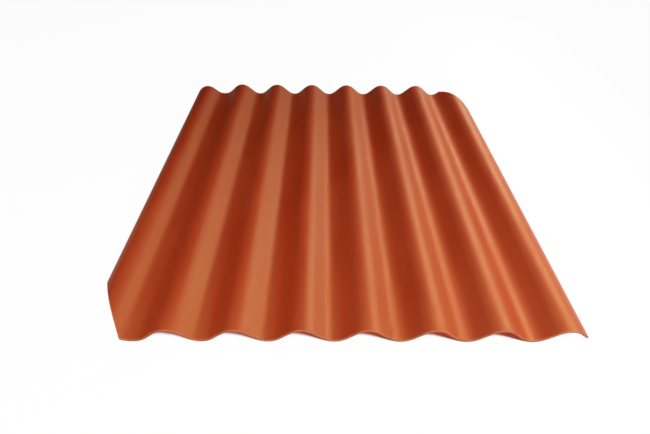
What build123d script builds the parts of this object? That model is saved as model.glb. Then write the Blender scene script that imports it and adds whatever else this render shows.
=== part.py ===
"""Fibre cement roof sheet: one corrugated sheet with eight waves and two mitred corners.

Millimetres. The waves run along Y, from the eaves end (-Y) to the ridge end (+Y), and repeat along X.
The origin is at the middle of the sheet's plan, on the level that the troughs rest on.
"""

from build123d import *
from math import asin, atan2, cos, degrees, hypot, radians, sin, sqrt
import os

# Driving dimensions of the section
WAVES = 8
PITCH = 150.0
WAVE_HEIGHT = 40.0
EDGE_WAVE_HEIGHT = 32.0
THICKNESS = 5.8
BEND_RADIUS = 39.0
LEFT_OVERHANG = 37.0
RIGHT_OVERHANG = 43.0
ARRIS_RADIUS = 1.2

# Driving dimensions of the plan
LENGTH = 1200.0
MITRE_START = 44.0
MITRE_LENGTH = 151.0

# Places and sizes that follow from them
OUTER_RADIUS = BEND_RADIUS + THICKNESS / 2
INNER_RADIUS = BEND_RADIUS - THICKNESS / 2
OVERALL_WIDTH = LEFT_OVERHANG + (WAVES - 1) * PITCH + RIGHT_OVERHANG
FIRST_CREST = LEFT_OVERHANG - OVERALL_WIDTH / 2
LAST_CREST = FIRST_CREST + (WAVES - 1) * PITCH
MITRE_SLOPE = MITRE_LENGTH / (MITRE_START + LEFT_OVERHANG)


def full_flank():
    """Return the angle and the length of the straight flank between a trough and a full crest.

    The flank is the inner tangent of two bends of equal radius, half a pitch apart.
    """
    run = PITCH / 2
    drop = 2 * BEND_RADIUS - WAVE_HEIGHT
    centre_distance = hypot(run, drop)
    angle = degrees(asin(2 * BEND_RADIUS / centre_distance) - atan2(drop, run))
    length = sqrt(centre_distance**2 - (2 * BEND_RADIUS) ** 2)
    return angle, length


def edge_flank(angle):
    """Return the length of the low crest's flank and of the level run beside it in the first trough.

    The flank lies at the full waves' angle, so the lower rise leaves part of half a pitch level.
    """
    turn = radians(angle)
    length = (EDGE_WAVE_HEIGHT - 2 * BEND_RADIUS * (1 - cos(turn))) / sin(turn)
    level = PITCH / 2 - 2 * BEND_RADIUS * sin(turn) - length * cos(turn)
    return length, level


def outer_flank(overhang, angle):
    """Return the length of the flank from an outer crest's bend down to the sheet's side edge.

    The overhang is measured to the rounded arris, which ends a little short of a sharp one.
    """
    turn = radians(angle)
    rounded_off = ARRIS_RADIUS * (cos(turn) + sin(turn) - 1)
    return (overhang + rounded_off - OUTER_RADIUS * sin(turn)) / cos(turn)


flank_angle, flank_length = full_flank()
edge_flank_length, trough_level = edge_flank(flank_angle)
left_flank_length = outer_flank(LEFT_OVERHANG, flank_angle)
right_flank_length = outer_flank(RIGHT_OVERHANG, flank_angle)

left_edge_x = (
    FIRST_CREST
    - INNER_RADIUS * sin(radians(flank_angle))
    - left_flank_length * cos(radians(flank_angle))
)
left_edge_z = (
    EDGE_WAVE_HEIGHT
    - INNER_RADIUS * (1 - cos(radians(flank_angle)))
    - left_flank_length * sin(radians(flank_angle))
)

with BuildPart() as roof_sheet:
    with BuildSketch(Plane.XZ) as section:
        with BuildLine() as underside:
            # Outer flank and bend of the first crest, the low wave that the next sheet laps over
            rising = PolarLine((left_edge_x, left_edge_z), left_flank_length, flank_angle)
            crest = JernArc(rising @ 1, rising % 1, INNER_RADIUS, -2 * flank_angle)
            # Its inner flank and the first trough, which is level in the middle
            falling = PolarLine(crest @ 1, edge_flank_length, -flank_angle)
            trough = JernArc(falling @ 1, falling % 1, OUTER_RADIUS, flank_angle)
            level = PolarLine(trough @ 1, trough_level, 0)
            trough = JernArc(level @ 1, level % 1, OUTER_RADIUS, flank_angle)
            # The full waves, each from its trough to the next
            for _ in range(WAVES - 2):
                rising = PolarLine(trough @ 1, flank_length, flank_angle)
                crest = JernArc(rising @ 1, rising % 1, INNER_RADIUS, -2 * flank_angle)
                falling = PolarLine(crest @ 1, flank_length, -flank_angle)
                trough = JernArc(falling @ 1, falling % 1, OUTER_RADIUS, 2 * flank_angle)
            # The last crest and its outer flank, which laps over the next sheet
            rising = PolarLine(trough @ 1, flank_length, flank_angle)
            crest = JernArc(rising @ 1, rising % 1, INNER_RADIUS, -2 * flank_angle)
            falling = PolarLine(crest @ 1, right_flank_length, -flank_angle)
            # The upper face is parallel to the underside, and the side edges are square to both
            offset(amount=THICKNESS, side=Side.LEFT)
        make_face()
    extrude(amount=LENGTH / 2, both=True)

    # The four long arrises of the two side edges are slightly rounded
    long_edges = roof_sheet.edges().filter_by(Axis.Y).sort_by(Axis.X)
    fillet(long_edges[:2] + long_edges[-2:], radius=ARRIS_RADIUS)

    # Two opposite corners are mitred, so that no more than three sheets meet at a lap
    for side, outer_crest in ((-1, FIRST_CREST), (1, LAST_CREST)):
        mitre = Plane(
            origin=(outer_crest - side * MITRE_START, side * LENGTH / 2, 0),
            z_dir=(side * MITRE_SLOPE, side, 0),
        )
        split(bisect_by=mitre, keep=Keep.BOTTOM)

roof_sheet.part.label = "roof_sheet"

os.makedirs("parts", exist_ok=True)
export_step(roof_sheet.part, "parts/roof_sheet.step")

box = roof_sheet.part.bounding_box()
print("flank angle", round(flank_angle, 2), "flank length", round(flank_length, 2))
print("edge flank length", round(edge_flank_length, 2), "trough level", round(trough_level, 2))
print("size", round(box.size.X, 2), round(box.size.Y, 2), round(box.size.Z, 2))
print("lowest point", round(box.min.Z, 3), "volume", round(roof_sheet.part.volume))
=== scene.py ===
"""Fibre cement roof sheet with a satin terracotta coat: the looks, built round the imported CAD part.

Metres, in the CAD frame. The waves run along Y, from the eaves end (-Y) to the ridge end (+Y).
"""

from bisect import bisect_left
from math import asin, atan2, cos, exp, hypot, radians, sin, sqrt

import bmesh
import bpy
from bpy.props import (
    FloatProperty,
    FloatVectorProperty,
    IntProperty,
    PointerProperty,
)
from bpy.types import Operator, Panel, PropertyGroup
from mathutils import Matrix, Vector, noise
from mathutils.kdtree import KDTree


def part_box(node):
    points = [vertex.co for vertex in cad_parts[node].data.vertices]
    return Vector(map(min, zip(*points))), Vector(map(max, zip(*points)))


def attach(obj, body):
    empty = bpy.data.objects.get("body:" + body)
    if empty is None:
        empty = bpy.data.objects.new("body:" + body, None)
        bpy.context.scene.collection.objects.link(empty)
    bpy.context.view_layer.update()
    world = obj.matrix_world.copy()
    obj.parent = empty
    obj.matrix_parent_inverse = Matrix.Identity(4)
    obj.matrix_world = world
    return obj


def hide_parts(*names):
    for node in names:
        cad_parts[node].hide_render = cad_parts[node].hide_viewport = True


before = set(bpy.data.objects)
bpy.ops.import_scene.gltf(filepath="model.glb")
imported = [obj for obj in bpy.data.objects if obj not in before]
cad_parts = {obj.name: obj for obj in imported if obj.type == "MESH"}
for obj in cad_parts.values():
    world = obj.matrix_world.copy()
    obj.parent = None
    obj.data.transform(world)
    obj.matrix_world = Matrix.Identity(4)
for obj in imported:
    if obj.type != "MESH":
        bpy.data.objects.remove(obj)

bl_info = {
    "name": "Fibre cement roof sheet",
    "version": (1, 0, 0),
    "blender": (4, 5, 0),
    "location": "View3D > Sidebar > Roof sheet",
    "description": "A corrugated fibre cement roof sheet with a terracotta coat, on a studio floor",
    "category": "Add Mesh",
}

LOW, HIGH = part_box("roof_sheet")
SHEET_LENGTH = HIGH.y - LOW.y
SHEET_HEIGHT = HIGH.z - LOW.z

COAT, CUT, BACK = 0, 1, 2

# Steps of the section round a full bend, along a full flank and along the low one
BEND_STEPS = 28
FLANK_STEPS = 5
LOW_FLANK_STEPS = 3
# Longer steps on this bend leave room for the rounding of the mitre's corner
MITRE_BEND_STEPS = 5

# The bell curve that eases the bends has this many samples to its width, and on either side
EASING_SAMPLES = 4
EASING_REACH = 10

# Edges sharper than this are rounded
SHARP_ANGLE = radians(40)
# How far through the thickness the coat starts and the back ends, on the roundings
COAT_FROM = 0.80
BACK_UP_TO = 0.20
# Faces that look further than this along Y or X are cut ones
CUT_FACING_Y = 0.3
CUT_FACING_X = 0.72

# Reach of the narrow faces beside a mitre, and of the roundings on the ends, in arris sizes
CORNER_REACH = 4
ROUNDING_REACH = 2.2

# The flanks' unevenness: places along X and Y are scaled by these, then an offset and a share
RIPPLES = ((7.0, 5.0, 3.7, 0.7), (16.0, 13.0, 9.1, 0.5))

# The floor's painted shade under the waves: a colour the floor shows in place of its lit shadow.
# A point is open where nothing stands close by on this side of it.
OPEN_SIDE = Vector((0.66, -0.52, 0.54))
SHADE_REACH = 0.08
SHADE_SAMPLES = 64
# Openness from which the painted shade gives way to white, and from which it is white
SHADE_END = (0.57, 0.62)
# Openness from which the painted shade darkens, and from which it is at its darkest
SHADE_DEEP = (0.50, 0.25)
# Darkest painted shade, deep under the waves
DEEP_PAINTED_SHADE = (0.025, 0.006, 0.003, 1.0)
# Places along X beside the front mitre, between which the painted shade ends
SHADE_SIDE = (-0.46, -0.50)

# How much of the plain white the camera sees on the floor, and the sheet's highlights
WHITE = (1.0, 1.0, 1.0, 1.0)
WHITE_SHARE = 0.96
MIRRORED_SHARE = 0.2
# The floor lies this far below the troughs
FLOOR_GAP = 0.0002

# Near end, far end, width and aim of the strip above the right side and of the fill
TOP_STRIP = (
    Vector((1.902, 1.863, 2.436)), Vector((1.902, 4.359, 2.436)), 0.409, Vector((1.902, 1.0, 0)),
)
FILL = (
    Vector((-1.676, -1.231, 1.614)), Vector((0.724, -1.231, 1.614)), 0.936, Vector((-0.476, 0, 0)),
)
KEY_AIM = Vector((0, 2.0, 0))

# Directions along Y between which the surround brightens, and its share on the far side
SURROUND_TURN = (0.2, -0.8)
FAR_SHARE = 0.25
# The camera's sensor, in millimetres
SENSOR_WIDTH = 36

# A vertex this close to a cut counts as on it
CUT_TOLERANCE = 1e-7
# Edges shorter than this are slivers left by a cut, and are closed up
SLIVER = 0.00005


# Sizes and colours that a user would change


class RoofSheetSizes(PropertyGroup):
    waves: IntProperty(
        name="Waves", description="Crests across the sheet", default=8, min=2, max=20
    )
    pitch: FloatProperty(
        name="Pitch", description="Distance from crest to crest",
        default=0.150, min=0.05, subtype="DISTANCE", unit="LENGTH", precision=4,
    )
    thickness: FloatProperty(
        name="Thickness", description="Thickness of the fibre cement",
        default=0.0058, min=0.002, subtype="DISTANCE", unit="LENGTH", precision=4,
    )
    wave_height: FloatProperty(
        name="Wave height", description="Rise of a full wave, from trough to crest",
        default=round(SHEET_HEIGHT - 0.0058, 4), min=0.01,
        subtype="DISTANCE", unit="LENGTH", precision=4,
    )
    edge_wave_height: FloatProperty(
        name="Edge wave height",
        description="Rise of the low first wave, which the next sheet laps over",
        default=0.032, min=0.01, subtype="DISTANCE", unit="LENGTH", precision=4,
    )
    bend_radius: FloatProperty(
        name="Bend radius", description="Radius of the crests and troughs, at mid thickness",
        default=0.039, min=0.01, subtype="DISTANCE", unit="LENGTH", precision=4,
    )
    left_overhang: FloatProperty(
        name="Left overhang", description="From the first crest to the left side edge",
        default=0.037, min=0.0, subtype="DISTANCE", unit="LENGTH", precision=4,
    )
    right_overhang: FloatProperty(
        name="Right overhang", description="From the last crest to the right side edge",
        default=0.043, min=0.0, subtype="DISTANCE", unit="LENGTH", precision=4,
    )
    length: FloatProperty(
        name="Length", description="Length along the waves",
        default=round(SHEET_LENGTH, 4), min=0.1, subtype="DISTANCE", unit="LENGTH", precision=4,
    )
    mitre_start: FloatProperty(
        name="Mitre start", description="How far inside the outer crest a mitre starts on the end",
        default=0.044, min=0.0, subtype="DISTANCE", unit="LENGTH", precision=4,
    )
    mitre_length: FloatProperty(
        name="Mitre length", description="Length of a mitre along the side edge",
        default=0.151, min=0.0, subtype="DISTANCE", unit="LENGTH", precision=4,
    )
    arris: FloatProperty(
        name="Arris", description="Size of the rounding along every cut edge",
        default=0.0012, min=0.0001, subtype="DISTANCE", unit="LENGTH", precision=4,
    )
    easing: FloatProperty(
        name="Easing", description="How gently the bends ease into the flanks",
        default=0.007, min=0.0005, max=0.012, subtype="DISTANCE", unit="LENGTH", precision=4,
    )
    ripple: FloatProperty(
        name="Ripple", description="Largest unevenness of the pressed flanks",
        default=0.00030, min=0.0, max=0.001, subtype="DISTANCE", unit="LENGTH", precision=5,
    )
    station: FloatProperty(
        name="Station spacing", description="Distance between the mesh's lines across the waves",
        default=0.018, min=0.004, subtype="DISTANCE", unit="LENGTH", precision=4,
    )


class RoofSheetFinish(PropertyGroup):
    coat_colour: FloatVectorProperty(
        name="Coat", description="Terracotta coat of the weather side",
        subtype="COLOR", size=4, min=0, max=1, default=(0.372, 0.0140, 0.0006, 1.0),
    )
    coat_light: FloatVectorProperty(
        name="Coat, light", description="Lighter clouding in the coat",
        subtype="COLOR", size=4, min=0, max=1, default=(0.392, 0.0190, 0.0012, 1.0),
    )
    coat_dark: FloatVectorProperty(
        name="Coat, dark", description="Darker clouding in the coat",
        subtype="COLOR", size=4, min=0, max=1, default=(0.352, 0.0110, 0.0004, 1.0),
    )
    coat_worn: FloatVectorProperty(
        name="Coat, thin", description="Coat where it is thin on an arris",
        subtype="COLOR", size=4, min=0, max=1, default=(0.520, 0.110, 0.050, 1.0),
    )
    cut_colour: FloatVectorProperty(
        name="Cut edge", description="Cut fibre cement of the ends, sides and mitres",
        subtype="COLOR", size=4, min=0, max=1, default=(0.430, 0.075, 0.026, 1.0),
    )
    back_colour: FloatVectorProperty(
        name="Back", description="Thin coat of the side that faces the roof's frame",
        subtype="COLOR", size=4, min=0, max=1, default=(0.330, 0.085, 0.034, 1.0),
    )
    cement_dark: FloatVectorProperty(
        name="Dark cement", description="Darker patches of the cut edges and the back",
        subtype="COLOR", size=4, min=0, max=1, default=(0.270, 0.062, 0.024, 1.0),
    )
    cement_colour: FloatVectorProperty(
        name="Cement", description="Cement that shows through the back coat and the cut edges",
        subtype="COLOR", size=4, min=0, max=1, default=(0.420, 0.170, 0.100, 1.0),
    )
    coat_roughness: FloatProperty(
        name="Coat roughness", description="Roughness of the satin coat",
        default=0.55, min=0, max=1, subtype="FACTOR",
    )
    coat_ior: FloatProperty(
        name="Coat IOR", description="Refractive index of the pigmented coat",
        default=2.18, min=1.0, max=3.0,
    )
    sheen_tint: FloatVectorProperty(
        name="Highlight tint", description="Warm tint of the coat's highlights",
        subtype="COLOR", size=4, min=0, max=1, default=(1.0, 0.91, 0.34, 1.0),
    )
    relief: FloatProperty(
        name="Relief", description="Height of the fine unevenness of the coat",
        default=0.00004, min=0, max=0.001, subtype="DISTANCE", unit="LENGTH", precision=5,
    )


class RoofSheetStudio(PropertyGroup):
    floor_size: FloatProperty(
        name="Floor", description="Side of the square studio floor",
        default=40.0, min=4.0, subtype="DISTANCE", unit="LENGTH",
    )
    floor_colour: FloatVectorProperty(
        name="Floor colour", description="Pale studio floor",
        subtype="COLOR", size=4, min=0, max=1, default=(0.80, 0.80, 0.80, 1.0),
    )
    # Painted shade: the colour the floor shows under the waves in place of its shadow, warmed as if
    # lit by the terracotta above
    painted_shade_colour: FloatVectorProperty(
        name="Shade colour", description="Floor under the waves, warmed by the terracotta above it",
        subtype="COLOR", size=4, min=0, max=1, default=(0.33, 0.040, 0.015, 1.0),
    )
    camera_place: FloatVectorProperty(
        name="Camera", description="Where the camera stands",
        default=(-0.0347, -1.0809, 0.8348), size=3, subtype="XYZ", unit="LENGTH",
    )
    camera_tilt: FloatProperty(
        name="Camera tilt", description="How far the camera looks down",
        default=radians(43.054), subtype="ANGLE", unit="ROTATION",
    )
    camera_yaw: FloatProperty(
        name="Camera yaw", description="How far the camera turns to the right",
        default=radians(0.752), subtype="ANGLE", unit="ROTATION",
    )
    camera_roll: FloatProperty(
        name="Camera roll", description="How far the camera leans",
        default=radians(0.823), subtype="ANGLE", unit="ROTATION",
    )
    lens: FloatProperty(
        name="Lens", description="Focal length of the camera",
        default=0.022613, min=0.005, subtype="DISTANCE", unit="LENGTH", precision=5,
    )
    key_near: FloatVectorProperty(
        name="Key, near end", description="Middle of the near end of the long key light",
        default=(0.931, -1.684, 0.636), size=3, subtype="XYZ", unit="LENGTH",
    )
    key_far: FloatVectorProperty(
        name="Key, far end", description="Middle of the far end of the long key light",
        default=(1.053, 1.638, 0.560), size=3, subtype="XYZ", unit="LENGTH",
    )
    key_width: FloatProperty(
        name="Key width", description="Width across the bright core of the key light",
        default=0.134, min=0.05, subtype="DISTANCE", unit="LENGTH",
    )
    key_power: FloatProperty(
        name="Key power", description="Power of the key light's core",
        default=12.7, min=0, subtype="POWER", unit="POWER",
    )
    halo_width: FloatProperty(
        name="Halo width", description="Width of the diffuser round the key light",
        default=1.33, min=0.1, subtype="DISTANCE", unit="LENGTH",
    )
    halo_power: FloatProperty(
        name="Halo power", description="Power of the key light's diffuser",
        default=7.3, min=0, subtype="POWER", unit="POWER",
    )
    top_power: FloatProperty(
        name="Top power", description="Power of the strip above the right side",
        default=33.6, min=0, subtype="POWER", unit="POWER",
    )
    fill_power: FloatProperty(
        name="Fill power", description="Power of the fill above the near end",
        default=40.0, min=0, subtype="POWER", unit="POWER",
    )
    surround: FloatProperty(
        name="Surround", description="Brightness of the dim studio round the stage",
        default=0.02, min=0, max=1,
    )


# The sheet's mesh


def full_flank(sizes):
    """Angle and length of the straight flank between a trough and a full crest."""
    run = sizes.pitch / 2
    drop = 2 * sizes.bend_radius - sizes.wave_height
    centres = hypot(run, drop)
    angle = asin(2 * sizes.bend_radius / centres) - atan2(drop, run)
    return angle, sqrt(centres**2 - (2 * sizes.bend_radius) ** 2)


def edge_flank(sizes, angle):
    """Length of the low crest's flank at that angle, and of the level run in the first trough."""
    length = (sizes.edge_wave_height - 2 * sizes.bend_radius * (1 - cos(angle))) / sin(angle)
    return length, sizes.pitch / 2 - 2 * sizes.bend_radius * sin(angle) - length * cos(angle)


class Section:
    """The sheet's cross section at the eaves end, swept rung by rung from the left side edge."""

    def __init__(self, start, across, thickness):
        self.bm = bmesh.new()
        low = self.bm.verts.new(start)
        high = self.bm.verts.new(start + across * thickness)
        self.rung = self.bm.edges.new((low, high))
        self.low, self.high = low, high
        self.rungs = [(low, high)]

    def keep(self, geom):
        """Take the last rung that an operator made, and tell its lower end from its upper one."""
        self.rung = next(e for e in geom if isinstance(e, bmesh.types.BMEdge))
        ahead = self.high.co - self.low.co
        ends = sorted(self.rung.verts, key=lambda v: v.co.dot(ahead))
        self.low, self.high = ends
        self.rungs.append((self.low, self.high))

    def run(self, angle, length):
        """Carry the section on along a straight flank that rises at that angle."""
        made = bmesh.ops.extrude_edge_only(self.bm, edges=[self.rung])["geom"]
        ends = [v for v in made if isinstance(v, bmesh.types.BMVert)]
        bmesh.ops.translate(self.bm, verts=ends, vec=(length * cos(angle), 0, length * sin(angle)))
        self.keep(made)

    def runs(self, angle, length, steps):
        for _ in range(steps):
            self.run(angle, length / steps)

    def bend(self, angle, radius, steps):
        """Carry the section on round a bend: down over a crest, or up out of a trough."""
        across = (self.high.co - self.low.co).normalized()
        crest = angle > 0
        centre = self.low.co - across * radius if crest else self.high.co + across * radius
        for _ in range(steps):
            made = bmesh.ops.spin(
                self.bm, geom=[self.rung, *self.rung.verts], cent=centre, axis=(0, 1, 0),
                dvec=(0, 0, 0), angle=angle / steps, space=Matrix(), steps=1,
                use_merge=False, use_normal_flip=False, use_duplicate=False,
            )["geom_last"]
            self.keep(made)


def sheet_section(sizes):
    """Sweep the whole section, with the same bends and flanks as the solid."""
    inner = sizes.bend_radius - sizes.thickness / 2
    outer = sizes.bend_radius + sizes.thickness / 2
    angle, length = full_flank(sizes)
    low_length, level = edge_flank(sizes, angle)
    rounded = sizes.arris * (cos(angle) + sin(angle) - 1)
    left = (sizes.left_overhang + rounded - outer * sin(angle)) / cos(angle)
    right = (sizes.right_overhang + rounded - outer * sin(angle)) / cos(angle)
    first_crest = LOW.x + sizes.left_overhang
    start = Vector((
        first_crest - inner * sin(angle) - left * cos(angle),
        -sizes.length / 2,
        sizes.edge_wave_height - inner * (1 - cos(angle)) - left * sin(angle),
    ))
    section = Section(start, Vector((-sin(angle), 0, cos(angle))), sizes.thickness)
    section.run(angle, left)
    section.bend(2 * angle, inner, BEND_STEPS)
    section.runs(-angle, low_length, LOW_FLANK_STEPS)
    section.bend(-angle, inner, MITRE_BEND_STEPS)
    section.run(0, level)
    section.bend(-angle, inner, BEND_STEPS // 2)
    for wave in range(sizes.waves - 1):
        section.runs(angle, length, FLANK_STEPS)
        section.bend(2 * angle, inner, BEND_STEPS)
        if wave < sizes.waves - 2:
            section.runs(-angle, length, FLANK_STEPS)
            section.bend(-2 * angle, inner, BEND_STEPS)
    section.run(-angle, right)
    return section


def level_at(middles, x):
    """Height of the section's middle line at x, carried on straight past its ends."""
    index = min(max(bisect_left(middles, x, key=lambda middle: middle.x), 1), len(middles) - 1)
    before, after = middles[index - 1], middles[index]
    return before.z + (after.z - before.z) * (x - before.x) / (after.x - before.x)


def ease_bends(section, sizes):
    """Ease the bends into the flanks, as pressing does. Crests and troughs keep their height."""
    middles = [(low.co + high.co) / 2 for low, high in section.rungs]
    taps = [
        (sizes.easing * step / EASING_SAMPLES, exp(-((step / EASING_SAMPLES) ** 2) / 2))
        for step in range(-EASING_REACH, EASING_REACH + 1)
    ]
    weight = sum(share for _, share in taps)
    drop = sizes.easing**2 / (2 * sizes.bend_radius)
    for vert in section.bm.verts:
        x = vert.co.x
        here = level_at(middles, x)
        eased = sum(share * level_at(middles, x + step) for step, share in taps) / weight
        rise = (here - sizes.thickness / 2) / sizes.wave_height
        vert.co.z += eased - here + drop * (2 * rise - 1)


def bisect(bm, place, normal, clear=False):
    """Cut the mesh along a plane. With clear, take away what lies in front and close the cut."""
    geom = bm.verts[:] + bm.edges[:] + bm.faces[:]
    made = bmesh.ops.bisect_plane(
        bm, geom=geom, dist=CUT_TOLERANCE, plane_co=place, plane_no=normal, clear_outer=clear
    )["geom_cut"]
    if clear:
        rim = [e for e in made if isinstance(e, bmesh.types.BMEdge) and e.is_boundary]
        bmesh.ops.contextual_create(bm, geom=rim)


def mitre_planes(sizes):
    """A point and an outward normal for the mitre of each of the two opposite corners."""
    slope = sizes.mitre_length / (sizes.mitre_start + sizes.left_overhang)
    first_crest = LOW.x + sizes.left_overhang
    last_crest = first_crest + (sizes.waves - 1) * sizes.pitch
    for side, crest in ((-1, first_crest), (1, last_crest)):
        place = Vector((crest - side * sizes.mitre_start, side * sizes.length / 2, 0))
        yield place, Vector((side * slope, side, 0)).normalized()


class SheetFrame:
    """Tells how far a point lies through the sheet's thickness, from the rungs of the section."""

    def __init__(self, rungs):
        self.rungs = [(low.co.copy(), high.co.copy()) for low, high in rungs]
        self.tree = KDTree(len(rungs))
        for index, (low, high) in enumerate(self.rungs):
            middle = (low + high) / 2
            self.tree.insert((middle.x, 0, middle.z), index)
        self.tree.balance()

    def depth(self, point):
        """0 on the underside and 1 on the weather side."""
        _, index, _ = self.tree.find((point.x, 0, point.z))
        low, high = self.rungs[index]
        across = high - low
        return (Vector((point.x, low.y, point.z)) - low).dot(across) / across.length_squared


def open_corners(bm, sizes):
    """Merge the narrow faces on the ends beside the mitres, to leave room for the rounding."""
    reach = CORNER_REACH * sizes.arris
    for place, _ in mitre_planes(sizes):
        narrow = [
            e for e in bm.edges
            if all(abs(f.normal.y) > 0.99 for f in e.link_faces)
            and all((Vector((v.co.x, v.co.y, 0)) - place).length < reach for v in e.verts)
        ]
        bmesh.ops.dissolve_edges(bm, edges=narrow, use_verts=False, use_face_split=False)


def round_arrises(bm, sizes):
    """Round every sharp edge, and mark the faces of the rounding."""
    rounded = bm.faces.layers.int.new("rounded")
    sharp = [e for e in bm.edges if e.calc_face_angle(0) > SHARP_ANGLE]
    made = bmesh.ops.bevel(
        bm, geom=sharp, offset=sizes.arris, offset_type="OFFSET", segments=3,
        profile=0.5, affect="EDGES", clamp_overlap=True, loop_slide=True, material=-1,
    )
    for face in made["faces"]:
        face[rounded] = 1


def sort_faces(bm, sheet_frame):
    """Give each face its finish: coat and back reach over their arrises, the cuts lie between."""
    rounded = bm.faces.layers.int["rounded"]
    for face in bm.faces:
        face.smooth = True
        if face[rounded]:
            depth = sheet_frame.depth(face.calc_center_median())
            face.material_index = COAT if depth > COAT_FROM else BACK if depth < BACK_UP_TO else CUT
        elif abs(face.normal.y) > CUT_FACING_Y or abs(face.normal.x) > CUT_FACING_X:
            face.material_index = CUT
        else:
            face.material_index = COAT if face.normal.z > 0 else BACK


def ripple(bm, sizes):
    """Leave the pressed flanks slightly uneven. Crests and troughs keep their height."""
    middle = SHEET_HEIGHT / 2
    for vert in bm.verts:
        x, y, z = vert.co
        flank = 1 - min(1.0, abs((z - middle) / middle)) ** 2
        uneven = sum(
            share * noise.noise(Vector((x * across, y * along, offset)))
            for across, along, offset, share in RIPPLES
        )
        z += sizes.ripple * flank * uneven
        vert.co.z = min(HIGH.z, max(LOW.z, z))


def mark_vertices(bm, sheet_frame):
    """Store where each vertex lies through the thickness, and which ones are on an arris."""
    depth = bm.verts.layers.float.new("depth")
    arris = bm.verts.layers.float.new("arris")
    rounded = bm.faces.layers.int["rounded"]
    for vert in bm.verts:
        vert[depth] = min(1.0, max(0.0, sheet_frame.depth(vert.co)))
        vert[arris] = any(face[rounded] for face in vert.link_faces)
    bm.faces.layers.int.remove(rounded)


def sheet_mesh(sizes):
    """The whole sheet: section, length, mitres, roundings, finishes and unevenness."""
    section = sheet_section(sizes)
    ease_bends(section, sizes)
    bm, sheet_frame = section.bm, SheetFrame(section.rungs)
    made = bmesh.ops.extrude_face_region(bm, geom=bm.faces[:])["geom"]
    far = [v for v in made if isinstance(v, bmesh.types.BMVert)]
    bmesh.ops.translate(bm, verts=far, vec=(0, sizes.length, 0))
    for place, normal in mitre_planes(sizes):
        bisect(bm, place, normal, clear=True)
    bmesh.ops.recalc_face_normals(bm, faces=bm.faces[:])
    open_corners(bm, sizes)
    round_arrises(bm, sizes)
    sort_faces(bm, sheet_frame)
    margin = ROUNDING_REACH * sizes.arris
    for place, normal in mitre_planes(sizes):
        bisect(bm, place - normal * margin, normal)
    stations = round((sizes.length - 2 * margin) / sizes.station)
    for station in range(stations + 1):
        at = -sizes.length / 2 + margin + (sizes.length - 2 * margin) * station / stations
        bisect(bm, (0, at, 0), (0, 1, 0))
    bmesh.ops.dissolve_degenerate(bm, dist=SLIVER, edges=bm.edges[:])
    mark_vertices(bm, sheet_frame)
    ripple(bm, sizes)
    if any(len(e.link_faces) != 2 for e in bm.edges):
        raise RuntimeError("the sheet's mesh isn't closed")
    return bm


# Shader helpers


def add_node(tree, kind, place, **settings):
    """Add a node at a place in the editor, and set its properties."""
    made = tree.nodes.new(kind)
    made.location = place
    for name, value in settings.items():
        setattr(made, name, value)
    return made


def new_group(name, inputs, outputs):
    """An empty node group with named sockets, and its input and output nodes."""
    group = bpy.data.node_groups.new(name, "ShaderNodeTree")
    for label, kind, value in inputs:
        socket = group.interface.new_socket(label, in_out="INPUT", socket_type=kind)
        if value is not None:
            socket.default_value = value
    for label, kind in outputs:
        group.interface.new_socket(label, in_out="OUTPUT", socket_type=kind)
    entry = add_node(group, "NodeGroupInput", (-900, 0))
    leave = add_node(group, "NodeGroupOutput", (700, 0))
    return group, entry, leave


def noise_node(tree, place, vector, scale, detail=3.0, roughness=0.5):
    made = add_node(tree, "ShaderNodeTexNoise", place)
    made.inputs["Scale"].default_value = scale
    made.inputs["Detail"].default_value = detail
    made.inputs["Roughness"].default_value = roughness
    tree.links.new(vector, made.inputs["Vector"])
    return made.outputs["Fac"]


def range_node(tree, place, value, low, high, to_low=0.0, to_high=1.0):
    made = add_node(tree, "ShaderNodeMapRange", place)
    made.interpolation_type = "SMOOTHSTEP"
    labels = "From Min", "From Max", "To Min", "To Max"
    for label, number in zip(labels, (low, high, to_low, to_high)):
        made.inputs[label].default_value = number
    tree.links.new(value, made.inputs["Value"])
    return made.outputs["Result"]


def math_node(tree, place, operation, *values):
    made = add_node(tree, "ShaderNodeMath", place, operation=operation)
    for socket, value in zip(made.inputs, values):
        if isinstance(value, (int, float)):
            socket.default_value = value
        else:
            tree.links.new(value, socket)
    return made.outputs[0]


def mix_node(tree, place, factor, first, second):
    """Mix two colours. Each may be a socket or a plain colour."""
    made = add_node(tree, "ShaderNodeMix", place, data_type="RGBA")
    made.clamp_factor = True
    sockets = made.inputs[0], made.inputs[6], made.inputs[7]
    for socket, value in zip(sockets, (factor, first, second)):
        if isinstance(value, bpy.types.NodeSocket):
            tree.links.new(value, socket)
        else:
            socket.default_value = value
    return made.outputs[2]


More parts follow.
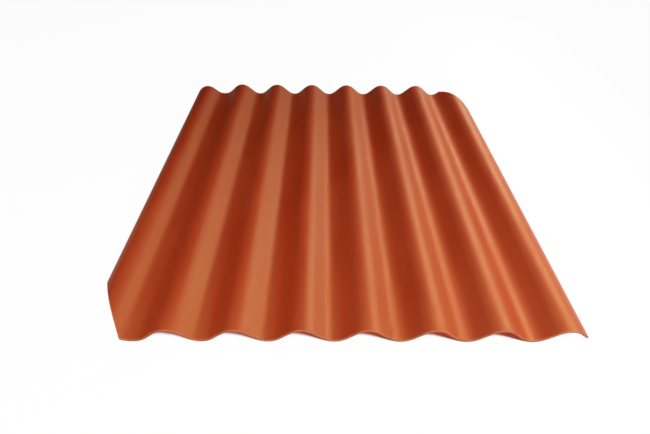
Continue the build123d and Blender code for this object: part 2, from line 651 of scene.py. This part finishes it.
def clouding_group():
    """Clouding: three colours mixed in broad patches, with fine specks."""
    group, entry, leave = new_group(
        "clouding",
        [
            ("Vector", "NodeSocketVector", None),
            ("Colour", "NodeSocketColor", None),
            ("Light", "NodeSocketColor", None),
            ("Dark", "NodeSocketColor", None),
            ("Patch", "NodeSocketFloat", 9.0),
            ("Speck", "NodeSocketFloat", 420.0),
        ],
        [("Colour", "NodeSocketColor"), ("Patches", "NodeSocketFloat")],
    )
    stretch = add_node(group, "ShaderNodeMapping", (-720, 120))
    stretch.inputs["Scale"].default_value = (1.0, 0.45, 1.0)
    group.links.new(entry.outputs["Vector"], stretch.inputs["Vector"])
    patches = noise_node(group, (-520, 220), stretch.outputs[0], 9.0, 4.0, 0.55)
    group.links.new(entry.outputs["Patch"], patches.node.inputs["Scale"])
    close = noise_node(group, (-520, 20), stretch.outputs[0], 60.0, 4.0, 0.6)
    specks = noise_node(group, (-520, -180), entry.outputs["Vector"], 420.0, 2.0, 0.5)
    group.links.new(entry.outputs["Speck"], specks.node.inputs["Scale"])
    lighter = range_node(group, (-320, 220), patches, 0.50, 0.75)
    darker = range_node(group, (-320, 20), patches, 0.50, 0.28)
    mottle = range_node(group, (-320, -180), close, 0.35, 0.70)
    grain = range_node(group, (-320, -380), specks, 0.58, 0.74)
    colour = mix_node(group, (-120, 220), lighter, entry.outputs["Colour"], entry.outputs["Light"])
    colour = mix_node(group, (60, 200), darker, colour, entry.outputs["Dark"])
    mottle = math_node(group, (60, -40), "MULTIPLY", mottle, 0.35)
    colour = mix_node(group, (240, 160), mottle, colour, entry.outputs["Light"])
    grain = math_node(group, (240, -120), "MULTIPLY", grain, 0.40)
    colour = mix_node(group, (420, 120), grain, colour, entry.outputs["Dark"])
    group.links.new(colour, leave.inputs["Colour"])
    group.links.new(patches, leave.inputs["Patches"])
    return group


def relief_group():
    """Relief: orange peel, felt weave and grain of a sprayed fibre cement face, in metres."""
    group, entry, leave = new_group(
        "felt_relief",
        [
            ("Vector", "NodeSocketVector", None),
            ("Height", "NodeSocketFloat", 0.00005),
            ("Felt", "NodeSocketFloat", 0.4),
        ],
        [("Height", "NodeSocketFloat")],
    )
    peel = noise_node(group, (-560, 220), entry.outputs["Vector"], 240.0, 2.0, 0.5)
    swell = noise_node(group, (-560, 20), entry.outputs["Vector"], 60.0, 2.0, 0.5)
    grain = noise_node(group, (-560, -180), entry.outputs["Vector"], 1300.0, 2.0, 0.6)
    along = add_node(group, "ShaderNodeMapping", (-740, -380))
    along.inputs["Scale"].default_value = (1.0, 0.22, 1.0)
    group.links.new(entry.outputs["Vector"], along.inputs["Vector"])
    felt = noise_node(group, (-560, -380), along.outputs[0], 900.0, 1.0, 0.5)
    swell = math_node(group, (-320, 0), "MULTIPLY", swell, 1.6)
    total = math_node(group, (-320, 120), "ADD", peel, swell)
    grain = math_node(group, (-320, -160), "MULTIPLY", grain, 0.22)
    total = math_node(group, (-140, 100), "ADD", total, grain)
    felted = math_node(group, (-320, -340), "MULTIPLY", felt, entry.outputs["Felt"])
    total = math_node(group, (60, 60), "ADD", total, felted)
    total = math_node(group, (240, 40), "MULTIPLY", total, entry.outputs["Height"])
    group.links.new(total, leave.inputs["Height"])
    return group


def wear_group():
    """Wear: how far an arris shows through its coat, in broken patches along it."""
    group, entry, leave = new_group(
        "arris_wear",
        [
            ("Vector", "NodeSocketVector", None),
            ("Arris", "NodeSocketFloat", 0.0),
            ("Amount", "NodeSocketFloat", 0.6),
        ],
        [("Wear", "NodeSocketFloat")],
    )
    broken = noise_node(group, (-520, 60), entry.outputs["Vector"], 130.0, 4.0, 0.6)
    broken = range_node(group, (-320, 60), broken, 0.30, 0.62, 0.35, 1.0)
    wear = math_node(group, (-120, 40), "MULTIPLY", entry.outputs["Arris"], broken)
    wear = math_node(group, (60, 20), "MULTIPLY", wear, entry.outputs["Amount"])
    group.links.new(wear, leave.inputs["Wear"])
    return group


def place_group(tree, name, place, **values):
    """Put one of the shared groups in a material, with its own values."""
    made = add_node(tree, "ShaderNodeGroup", place)
    made.node_tree = bpy.data.node_groups[name]
    for label, value in values.items():
        if isinstance(value, bpy.types.NodeSocket):
            tree.links.new(value, made.inputs[label])
        else:
            made.inputs[label].default_value = value
    return made


def start_material(name):
    """A material with only its output and a Principled shader, and the object's own coordinates."""
    material = bpy.data.materials.new(name)
    material.use_nodes = True
    tree = material.node_tree
    tree.nodes.clear()
    out = add_node(tree, "ShaderNodeOutputMaterial", (900, 0))
    shader = add_node(tree, "ShaderNodeBsdfPrincipled", (600, 0))
    tree.links.new(shader.outputs[0], out.inputs["Surface"])
    coordinates = add_node(tree, "ShaderNodeTexCoord", (-1100, 0)).outputs["Object"]
    return material, tree, shader, coordinates


def attribute(tree, name, place):
    return add_node(tree, "ShaderNodeAttribute", place, attribute_name=name).outputs["Fac"]


def bump(tree, place, height, shader):
    made = add_node(tree, "ShaderNodeBump", place)
    made.inputs["Strength"].default_value = 1.0
    made.inputs["Distance"].default_value = 1.0
    tree.links.new(height, made.inputs["Height"])
    tree.links.new(made.outputs[0], shader.inputs["Normal"])


def coat_material(finish):
    """Satin terracotta coat of the weather side."""
    material, tree, shader, place = start_material("terracotta_coat")
    clouds = place_group(
        tree, "clouding", (-700, 240), Vector=place, Colour=finish.coat_colour,
        Light=finish.coat_light, Dark=finish.coat_dark,
    )
    arris = attribute(tree, "arris", (-1100, -200))
    wear = place_group(tree, "arris_wear", (-700, -60), Vector=place, Arris=arris, Amount=0.55)
    thin, coat = wear.outputs["Wear"], clouds.outputs["Colour"]
    colour = mix_node(tree, (-200, 200), thin, coat, finish.coat_worn)
    tree.links.new(colour, shader.inputs["Base Color"])
    low, high = finish.coat_roughness - 0.03, finish.coat_roughness + 0.05
    roughness = range_node(tree, (-400, 0), clouds.outputs["Patches"], 0.30, 0.70, low, high)
    tree.links.new(roughness, shader.inputs["Roughness"])
    shader.inputs["IOR"].default_value = finish.coat_ior
    shader.inputs["Specular Tint"].default_value = finish.sheen_tint
    relief = place_group(
        tree, "felt_relief", (-700, -320), Vector=place, Height=finish.relief, Felt=0.25
    )
    bump(tree, (300, -300), relief.outputs["Height"], shader)
    return material


def cut_material(finish):
    """Cut edges: dyed fibre cement in thin layers, with a little coat on it."""
    material, tree, shader, place = start_material("terracotta_cut_edge")
    clouds = place_group(
        tree, "clouding", (-700, 240), Vector=place, Colour=finish.cut_colour,
        Light=finish.cement_colour, Dark=finish.cement_dark, Patch=30.0, Speck=700.0,
    )
    depth = attribute(tree, "depth", (-1100, -200))
    layers = add_node(tree, "ShaderNodeCombineXYZ", (-900, -200))
    split = add_node(tree, "ShaderNodeSeparateXYZ", (-1100, -360))
    tree.links.new(place, split.inputs[0])
    for axis, value, scale, row in (
        ("X", split.outputs["X"], 70.0, -360),
        ("Y", split.outputs["Y"], 70.0, -480),
        ("Z", depth, 11.0, -600),
    ):
        scaled = math_node(tree, (-900, row), "MULTIPLY", value, scale)
        tree.links.new(scaled, layers.inputs[axis])
    laminate = noise_node(tree, (-700, -200), layers.outputs[0], 1.0, 3.0, 0.6)
    streaks = range_node(tree, (-500, -200), laminate, 0.35, 0.65)
    colour = mix_node(tree, (-200, 200), math_node(tree, (-300, -60), "MULTIPLY", streaks, 0.35),
                      clouds.outputs["Colour"], finish.cement_dark)
    tree.links.new(colour, shader.inputs["Base Color"])
    roughness = range_node(tree, (-300, 0), laminate, 0.30, 0.70, 0.58, 0.78)
    tree.links.new(roughness, shader.inputs["Roughness"])
    shader.inputs["Specular IOR Level"].default_value = 0.4
    relief = place_group(tree, "felt_relief", (-500, -420), Vector=place, Height=0.00012, Felt=1.0)
    height = math_node(tree, (0, -360), "ADD", relief.outputs["Height"],
                       math_node(tree, (-200, -500), "MULTIPLY", laminate, 0.0002))
    bump(tree, (300, -300), height, shader)
    return material


def back_material(finish):
    """Back: a thin dull coat, through which the cement's felt marks show."""
    material, tree, shader, place = start_material("terracotta_back")
    clouds = place_group(
        tree, "clouding", (-700, 240), Vector=place, Colour=finish.back_colour,
        Light=finish.cement_colour, Dark=finish.cement_dark, Patch=6.0, Speck=260.0,
    )
    arris = attribute(tree, "arris", (-1100, -200))
    wear = place_group(tree, "arris_wear", (-700, -60), Vector=place, Arris=arris, Amount=0.8)
    thin, back = wear.outputs["Wear"], clouds.outputs["Colour"]
    colour = mix_node(tree, (-200, 200), thin, back, finish.cement_colour)
    tree.links.new(colour, shader.inputs["Base Color"])
    roughness = range_node(tree, (-400, 0), clouds.outputs["Patches"], 0.30, 0.70, 0.68, 0.84)
    tree.links.new(roughness, shader.inputs["Roughness"])
    shader.inputs["Specular IOR Level"].default_value = 0.35
    relief = place_group(tree, "felt_relief", (-700, -320), Vector=place, Height=0.00016, Felt=1.4)
    bump(tree, (300, -300), relief.outputs["Height"], shader)
    return material


class ROOFSHEET_OT_sheet(Operator):
    """Build the corrugated sheet with its mitred corners, rounded arrises and finishes"""

    bl_idname = "roof_sheet.sheet"
    bl_label = "Corrugated sheet"

    def execute(self, context):
        scene = context.scene
        for make in (clouding_group, relief_group, wear_group):
            make()
        bm = sheet_mesh(scene.roof_sheet_sizes)
        mesh = bpy.data.meshes.new("roof_sheet_dressed")
        bm.to_mesh(mesh)
        bm.free()
        for make in (coat_material, cut_material, back_material):
            mesh.materials.append(make(scene.roof_sheet_finish))
        sheet = bpy.data.objects.new("roof_sheet_dressed", mesh)
        scene.collection.objects.link(sheet)
        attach(sheet, "root")
        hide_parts("roof_sheet")
        return {"FINISHED"}


# The stage


def floor_material(studio):
    """Pale floor: near white to the camera, with a painted warm shade close under the sheet."""
    material, tree, shader, place = start_material("studio_floor")
    shader.inputs["Base Color"].default_value = studio.floor_colour
    shader.inputs["Roughness"].default_value = 0.9
    shader.inputs["Specular IOR Level"].default_value = 0.1
    path = add_node(tree, "ShaderNodeLightPath", (-300, 500))
    glossy = path.outputs["Is Glossy Ray"]
    mirrored = math_node(tree, (-180, 560), "MULTIPLY", glossy, MIRRORED_SHARE)
    seen = math_node(tree, (-60, 460), "MAXIMUM", path.outputs["Is Camera Ray"], mirrored)
    seen = math_node(tree, (120, 460), "MAXIMUM", seen, path.outputs["Is Transmission Ray"])
    towards = add_node(tree, "ShaderNodeCombineXYZ", (-480, 260))
    for socket, part in zip(towards.inputs, OPEN_SIDE):
        socket.default_value = part
    openness = add_node(tree, "ShaderNodeAmbientOcclusion", (-300, 260), samples=SHADE_SAMPLES)
    openness.inputs["Distance"].default_value = SHADE_REACH
    tree.links.new(towards.outputs[0], openness.inputs["Normal"])
    deep = range_node(tree, (-180, -120), openness.outputs["AO"], *SHADE_DEEP)
    open_air = range_node(tree, (-180, 260), openness.outputs["AO"], *SHADE_END)
    split = add_node(tree, "ShaderNodeSeparateXYZ", (-300, 60))
    tree.links.new(place, split.inputs[0])
    beside = range_node(tree, (-180, 60), split.outputs["X"], *SHADE_SIDE)
    clear = math_node(tree, (-60, 160), "MAXIMUM", open_air, beside)
    share = math_node(tree, (300, 360), "MULTIPLY", seen, WHITE_SHARE)
    glow = add_node(tree, "ShaderNodeEmission", (300, 200))
    glow.inputs["Strength"].default_value = 1.0
    # Painted shade: under the waves the floor emits a warm to dark colour instead of showing its lit
    # shadow
    shade = mix_node(tree, (-60, -60), deep, studio.painted_shade_colour, DEEP_PAINTED_SHADE)
    colour = mix_node(tree, (120, 120), clear, shade, WHITE)
    tree.links.new(colour, glow.inputs["Color"])
    mixed = add_node(tree, "ShaderNodeMixShader", (760, 200))
    tree.links.new(share, mixed.inputs[0])
    tree.links.new(shader.outputs[0], mixed.inputs[1])
    tree.links.new(glow.outputs[0], mixed.inputs[2])
    out = next(n for n in tree.nodes if n.type == "OUTPUT_MATERIAL")
    tree.links.new(mixed.outputs[0], out.inputs["Surface"])
    return material


def studio_world(studio):
    """Dim surround, a little brighter on the camera's side."""
    world = bpy.data.worlds.new("studio")
    world.use_nodes = True
    tree = world.node_tree
    tree.nodes.clear()
    out = add_node(tree, "ShaderNodeOutputWorld", (600, 0))
    background = add_node(tree, "ShaderNodeBackground", (400, 0))
    tree.links.new(background.outputs[0], out.inputs["Surface"])
    direction = add_node(tree, "ShaderNodeTexCoord", (-600, 0)).outputs["Generated"]
    split = add_node(tree, "ShaderNodeSeparateXYZ", (-400, 0))
    tree.links.new(direction, split.inputs[0])
    along = split.outputs["Y"]
    near_side = range_node(tree, (-200, 0), along, *SURROUND_TURN, to_low=FAR_SHARE)
    strength = math_node(tree, (100, 0), "MULTIPLY", near_side, studio.surround)
    tree.links.new(strength, background.inputs["Strength"])
    return world


def add_softbox(name, near, far, width, power, aim):
    """A rectangular area lamp whose long side runs from near to far, facing a point."""
    data = bpy.data.lights.new(name, "AREA")
    data.shape = "RECTANGLE"
    along = far - near
    data.size, data.size_y = along.length, width
    data.energy = power
    middle = (near + far) / 2
    along.normalize()
    back = middle - aim
    back = (back - along * back.dot(along)).normalized()
    side = back.cross(along)
    turn = Matrix((along, side, back)).transposed().to_4x4()
    lamp = bpy.data.objects.new(name, data)
    lamp.matrix_world = Matrix.Translation(middle) @ turn
    lamp.visible_camera = False
    bpy.context.scene.collection.objects.link(lamp)


def add_camera(studio):
    """The photograph's viewpoint."""
    tilt, yaw, roll = studio.camera_tilt, studio.camera_yaw, studio.camera_roll
    ahead = Vector((sin(yaw) * cos(tilt), cos(yaw) * cos(tilt), -sin(tilt)))
    level = Vector((cos(yaw), -sin(yaw), 0))
    upward = level.cross(ahead)
    right = level * cos(roll) + upward * sin(roll)
    top = upward * cos(roll) - level * sin(roll)
    data = bpy.data.cameras.new("studio_camera")
    data.sensor_width = SENSOR_WIDTH
    data.lens = studio.lens * 1000
    data.clip_start, data.clip_end = 0.05, 200
    camera = bpy.data.objects.new("studio_camera", data)
    turn = Matrix((right, top, -ahead)).transposed().to_4x4()
    camera.matrix_world = Matrix.Translation(Vector(studio.camera_place)) @ turn
    bpy.context.scene.collection.objects.link(camera)
    bpy.context.scene.camera = camera


class ROOFSHEET_OT_stage(Operator):
    """Set the pale floor, the key light, the strip, the fill, the dim surround and the camera"""

    bl_idname = "roof_sheet.stage"
    bl_label = "Studio stage"

    def execute(self, context):
        studio = context.scene.roof_sheet_studio
        bm = bmesh.new()
        bmesh.ops.create_grid(bm, x_segments=1, y_segments=1, size=studio.floor_size / 2)
        mesh = bpy.data.meshes.new("floor")
        bm.to_mesh(mesh)
        bm.free()
        mesh.transform(Matrix.Translation((0, 0, LOW.z - FLOOR_GAP)))
        mesh.materials.append(floor_material(studio))
        floor = bpy.data.objects.new("floor", mesh)
        context.scene.collection.objects.link(floor)
        context.scene.world = studio_world(studio)
        key_near, key_far = Vector(studio.key_near), Vector(studio.key_far)
        for name, width, power in (
            ("key_core", studio.key_width, studio.key_power),
            ("key_halo", studio.halo_width, studio.halo_power),
        ):
            add_softbox(name, key_near, key_far, width, power, KEY_AIM)
        for name, (near, far, width, aim), power in (
            ("top_right", TOP_STRIP, studio.top_power),
            ("fill_near", FILL, studio.fill_power),
        ):
            add_softbox(name, near, far, width, power, aim)
        context.scene.view_settings.view_transform = "Standard"
        add_camera(studio)
        return {"FINISHED"}


class ROOFSHEET_PT_sidebar(Panel):
    """Lists the roof sheet's operators and what a user can change"""

    bl_label = "Roof sheet"
    bl_idname = "ROOFSHEET_PT_sidebar"
    bl_space_type = "VIEW_3D"
    bl_region_type = "UI"
    bl_category = "Roof sheet"

    def draw(self, context):
        layout = self.layout
        layout.use_property_split = True
        for operator, group in (
            (ROOFSHEET_OT_sheet, context.scene.roof_sheet_sizes),
            (None, context.scene.roof_sheet_finish),
            (ROOFSHEET_OT_stage, context.scene.roof_sheet_studio),
        ):
            column = layout.column(align=True)
            if operator:
                column.operator(operator.bl_idname)
            for name in group.__annotations__:
                column.prop(group, name)


CLASSES = (
    RoofSheetSizes,
    RoofSheetFinish,
    RoofSheetStudio,
    ROOFSHEET_OT_sheet,
    ROOFSHEET_OT_stage,
    ROOFSHEET_PT_sidebar,
)


def register():
    for cls in CLASSES:
        bpy.utils.register_class(cls)
    bpy.types.Scene.roof_sheet_sizes = PointerProperty(type=RoofSheetSizes)
    bpy.types.Scene.roof_sheet_finish = PointerProperty(type=RoofSheetFinish)
    bpy.types.Scene.roof_sheet_studio = PointerProperty(type=RoofSheetStudio)


def unregister():
    del bpy.types.Scene.roof_sheet_studio
    del bpy.types.Scene.roof_sheet_finish
    del bpy.types.Scene.roof_sheet_sizes
    for cls in reversed(CLASSES):
        bpy.utils.unregister_class(cls)


def main():
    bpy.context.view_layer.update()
    register()
    bpy.ops.roof_sheet.sheet()
    bpy.ops.roof_sheet.stage()


if __name__ == "__main__":
    main()
